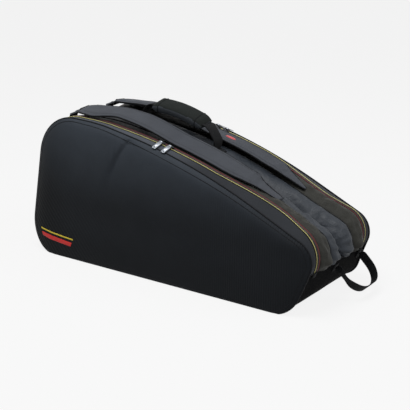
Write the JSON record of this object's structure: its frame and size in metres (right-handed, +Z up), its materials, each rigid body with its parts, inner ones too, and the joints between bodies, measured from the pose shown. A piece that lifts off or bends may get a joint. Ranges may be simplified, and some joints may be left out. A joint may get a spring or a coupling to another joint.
{
  "type": "racket tournament bag",
  "caption": "Racket bag with two zipped compartments that open outwards, a bellows top, padded shoulder straps on ladder locks, a wrapped carry handle and an end loop.",
  "frame": {"origin": "middle of the bottom of the floor, on the bag's middle plane", "axes": "+X along the bag from the tall head end to the low handle end, +Y from the near side to the far side, +Z up"},
  "size_m": [0.8137, 0.3, 0.3701],
  "materials": {
    "panel_cloth": "coated polyester, satin",
    "base_cloth": "coated polyester, satin",
    "outer_gusset_cloth": "ripstop nylon",
    "inner_gusset_cloth": "ripstop nylon",
    "bellow_cloth": "ripstop nylon",
    "lining": "foil-faced lining",
    "yellow_tape": "woven zip tape",
    "red_tape": "woven zip tape",
    "zip_coil": "nylon coil",
    "zip_metal": "satin",
    "pull_metal": "satin",
    "lock_metal": "grey polished",
    "strap_cloth": "padded polyester",
    "grip_wrap": "padded wrap",
    "patch": "moulded",
    "board": "stiff sheet",
    "divider_foam": "foam faced with cloth",
    "piping": "corded piping",
    "black_webbing": "woven webbing"
  },
  "bodies": {
    "bag_body": {"base_floor": "base_cloth", "floor_board": "board", "centre_divider": "divider_foam", "head_end_boot": "base_cloth", "handle_end_boot": "base_cloth", "near_panel_lower": "panel_cloth", "far_panel_lower": "panel_cloth", "near_inner_gusset": "inner_gusset_cloth", "far_inner_gusset": "inner_gusset_cloth", "near_bellow": "bellow_cloth", "far_bellow": "bellow_cloth", "near_inner_tape": "red_tape", "far_inner_tape": "red_tape", "near_inner_coil": "zip_coil", "far_inner_coil": "zip_coil", "near_zip_stops": "black_webbing", "far_zip_stops": "black_webbing", "near_shoulder_strap": "strap_cloth", "far_shoulder_strap": "strap_cloth", "near_strap_loop": "black_webbing", "far_strap_loop": "black_webbing", "near_anchor_webbing": "black_webbing", "far_anchor_webbing": "black_webbing", "strap_patch": "patch", "handle_anchors": "black_webbing", "end_loop_anchors": "black_webbing"},
    "near_cover": {"near_panel_upper": "panel_cloth", "near_panel_lining": "lining", "near_piping": "piping", "near_outer_gusset": "outer_gusset_cloth", "near_outer_tape": "yellow_tape", "near_outer_coil": "zip_coil"},
    "far_cover": {"far_panel_upper": "panel_cloth", "far_panel_lining": "lining", "far_piping": "piping", "far_outer_gusset": "outer_gusset_cloth", "far_outer_tape": "yellow_tape", "far_outer_coil": "zip_coil"},
    "carry_handle": {"handle_webbing": "black_webbing", "handle_grip": "grip_wrap"},
    "end_loop_strap": {"end_loop": "black_webbing"},
    "near_lock": {"near_ladder_lock": "lock_metal"},
    "far_lock": {"far_ladder_lock": "lock_metal"},
    "near_head_slider": {"near_head_slider": "zip_metal"},
    "near_head_pull": {"near_head_pull": "pull_metal"},
    "near_handle_slider": {"near_handle_slider": "zip_metal"},
    "near_handle_pull": {"near_handle_pull": "pull_metal"},
    "far_head_slider": {"far_head_slider": "zip_metal"},
    "far_head_pull": {"far_head_pull": "pull_metal"},
    "far_handle_slider": {"far_handle_slider": "zip_metal"},
    "far_handle_pull": {"far_handle_pull": "pull_metal"}
  },
  "joints": [
    {"name": "near_cover_open", "type": "hinge", "parent": "bag_body", "child": "near_cover", "pos_m": [0, -0.1503, 0.092], "axis": [1, 0, 0], "range_deg": [0, 75]},
    {"name": "far_cover_open", "type": "hinge", "parent": "bag_body", "child": "far_cover", "pos_m": [0, 0.1503, 0.092], "axis": [-1, 0, 0], "range_deg": [0, 75]},
    {"name": "near_head_slide", "type": "hinge", "parent": "near_cover", "child": "near_head_slider", "pos_m": [-0.33407, -0.103, -1.0809], "axis": [0, 1, 0], "range_deg": [-1.61, 0]},
    {"name": "near_head_pull_flip", "type": "hinge", "parent": "near_head_slider", "child": "near_head_pull", "pos_m": [-0.00954, -0.1082, 0.30809], "axis": [-0.9738, 0, 0.2275], "range_deg": [0, 165]},
    {"name": "near_handle_slide", "type": "hinge", "parent": "near_cover", "child": "near_handle_slider", "pos_m": [-0.33407, -0.103, -1.0809], "axis": [0, 1, 0], "range_deg": [0, 5.14]},
    {"name": "near_handle_pull_flip", "type": "hinge", "parent": "near_handle_slider", "child": "near_handle_pull", "pos_m": [0.01456, -0.1082, 0.30224], "axis": [-0.9697, 0, 0.2444], "range_deg": [0, 165]},
    {"name": "far_head_slide", "type": "hinge", "parent": "far_cover", "child": "far_head_slider", "pos_m": [-0.33407, 0.103, -1.0809], "axis": [0, 1, 0], "range_deg": [-1.61, 0]},
    {"name": "far_head_pull_flip", "type": "hinge", "parent": "far_head_slider", "child": "far_head_pull", "pos_m": [-0.00954, 0.1082, 0.30809], "axis": [0.9738, 0, -0.2275], "range_deg": [0, 165]},
    {"name": "far_handle_slide", "type": "hinge", "parent": "far_cover", "child": "far_handle_slider", "pos_m": [-0.33407, 0.103, -1.0809], "axis": [0, 1, 0], "range_deg": [0, 5.14]},
    {"name": "far_handle_pull_flip", "type": "hinge", "parent": "far_handle_slider", "child": "far_handle_pull", "pos_m": [0.01456, 0.1082, 0.30224], "axis": [0.9697, 0, -0.2444], "range_deg": [0, 165]},
    {"name": "carry_handle_flop", "type": "hinge", "parent": "bag_body", "child": "carry_handle", "pos_m": [-0.036, 0, 0.31799], "axis": [0.9772, 0, -0.2122], "range_deg": [-25, 25]},
    {"name": "end_loop_swing", "type": "hinge", "parent": "bag_body", "child": "end_loop_strap", "pos_m": [0.37428, 0.0535, 0.06556], "axis": [0, -1, 0], "range_deg": [-45, 100]},
    {"name": "near_lock_tilt", "type": "hinge", "parent": "bag_body", "child": "near_lock", "pos_m": [-0.2681, -0.061, 0.34476], "axis": [0, 1, 0], "range_deg": [0, 25]},
    {"name": "far_lock_tilt", "type": "hinge", "parent": "bag_body", "child": "far_lock", "pos_m": [-0.2681, 0.061, 0.34476], "axis": [0, 1, 0], "range_deg": [0, 25]}
  ]
}
